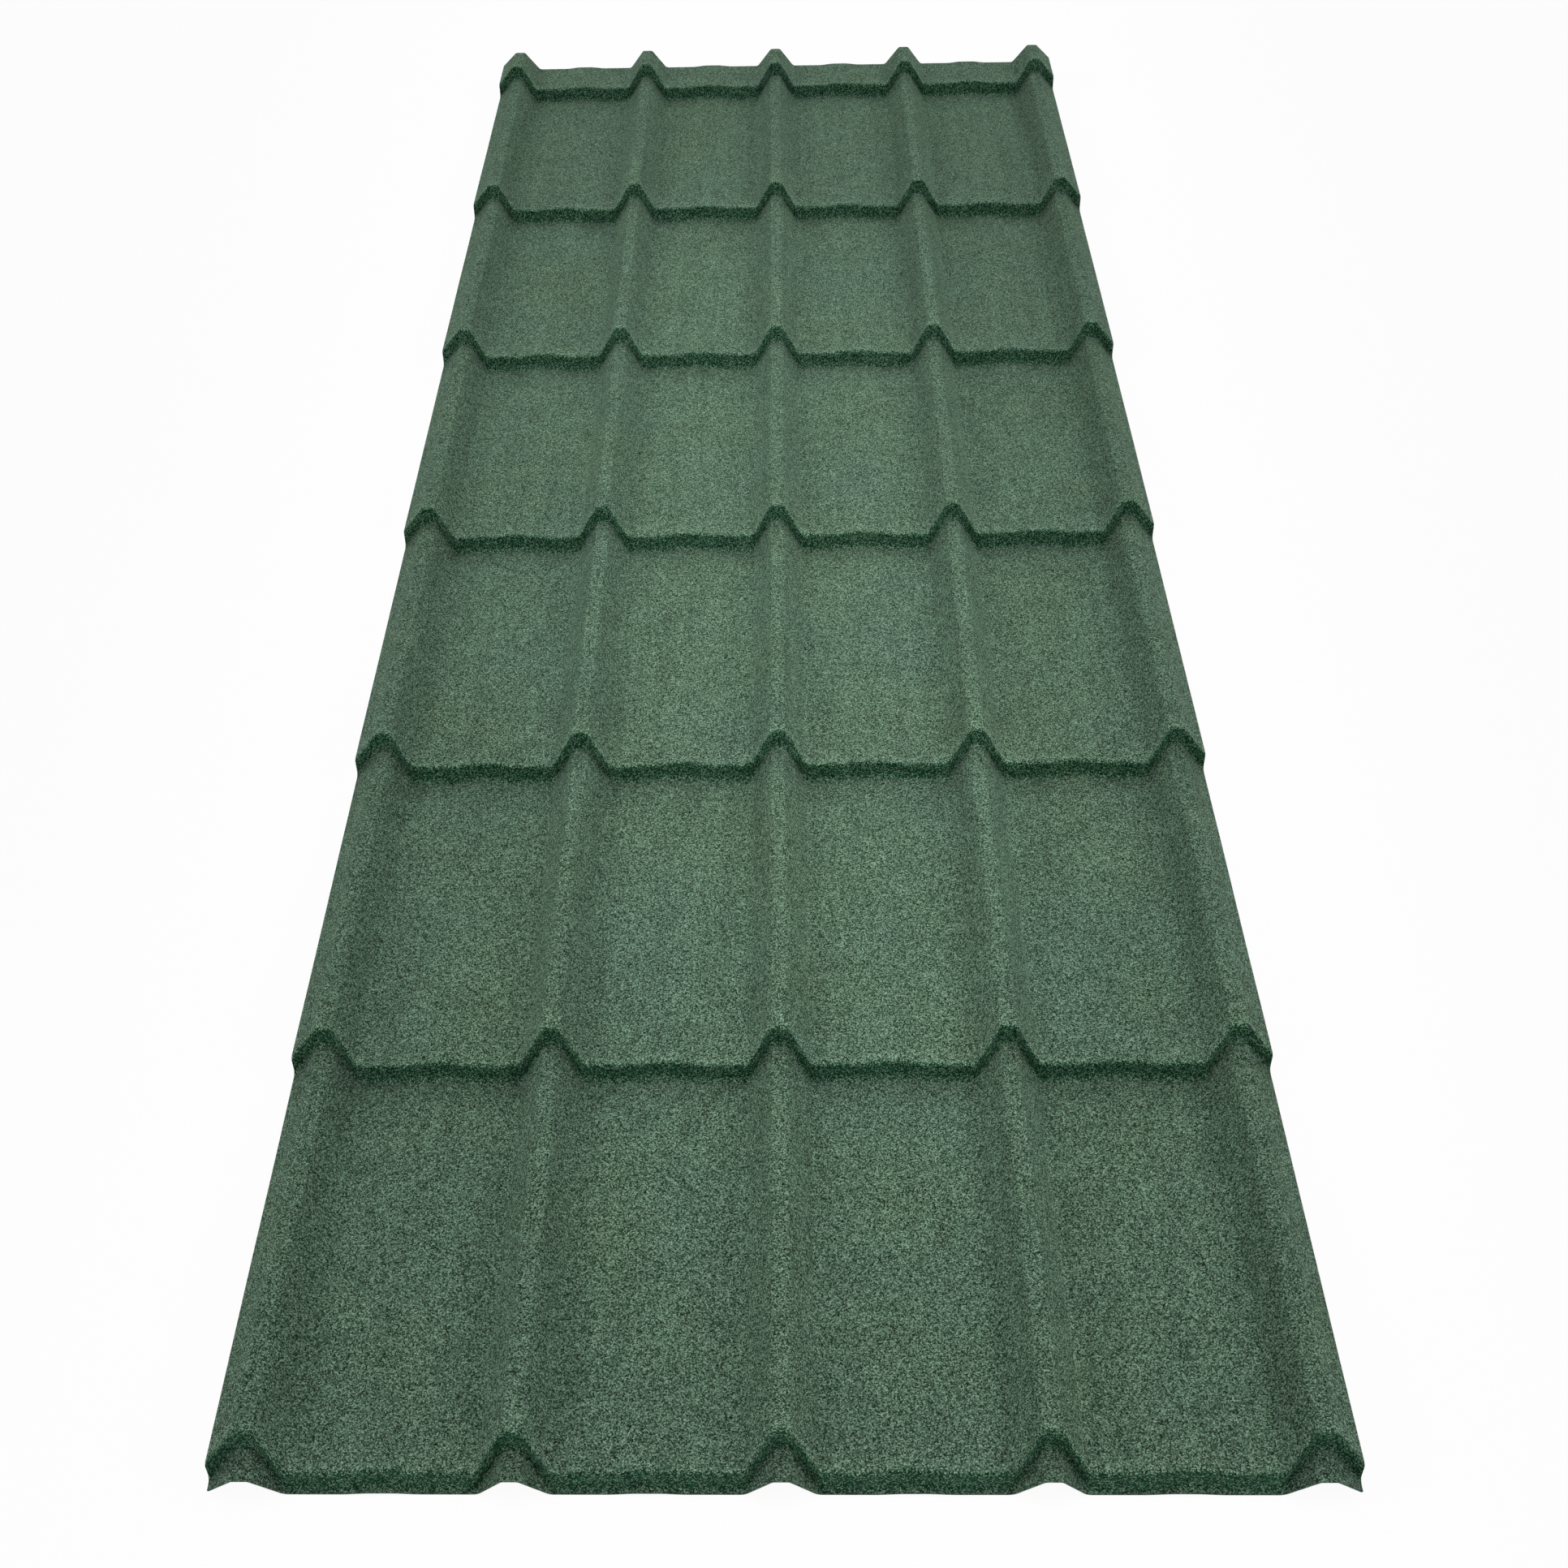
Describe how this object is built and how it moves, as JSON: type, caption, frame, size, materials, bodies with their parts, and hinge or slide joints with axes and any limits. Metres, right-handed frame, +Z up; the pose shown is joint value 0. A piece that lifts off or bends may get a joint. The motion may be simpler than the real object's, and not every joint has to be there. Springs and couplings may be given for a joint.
{
  "type": "tile effect metal roofing sheet",
  "caption": "Long roll-formed steel roofing sheet with trapezoidal ribs, stepped tile courses and a dark green stone granule coat.",
  "frame": {"origin": "on the floor level under the middle of the sheet, where the feet of its steps rest", "axes": "+X across the ribs, +Y up the slope to the ridge, +Z up and out of the roof"},
  "size_m": [0.858, 2.18, 0.0456],
  "materials": {
    "stone_coat": "rough matt dark green stone granules bonded to coated steel"
  },
  "bodies": {
    "root": {"roofing_sheet": "stone_coat"}
  },
  "joints": []
}
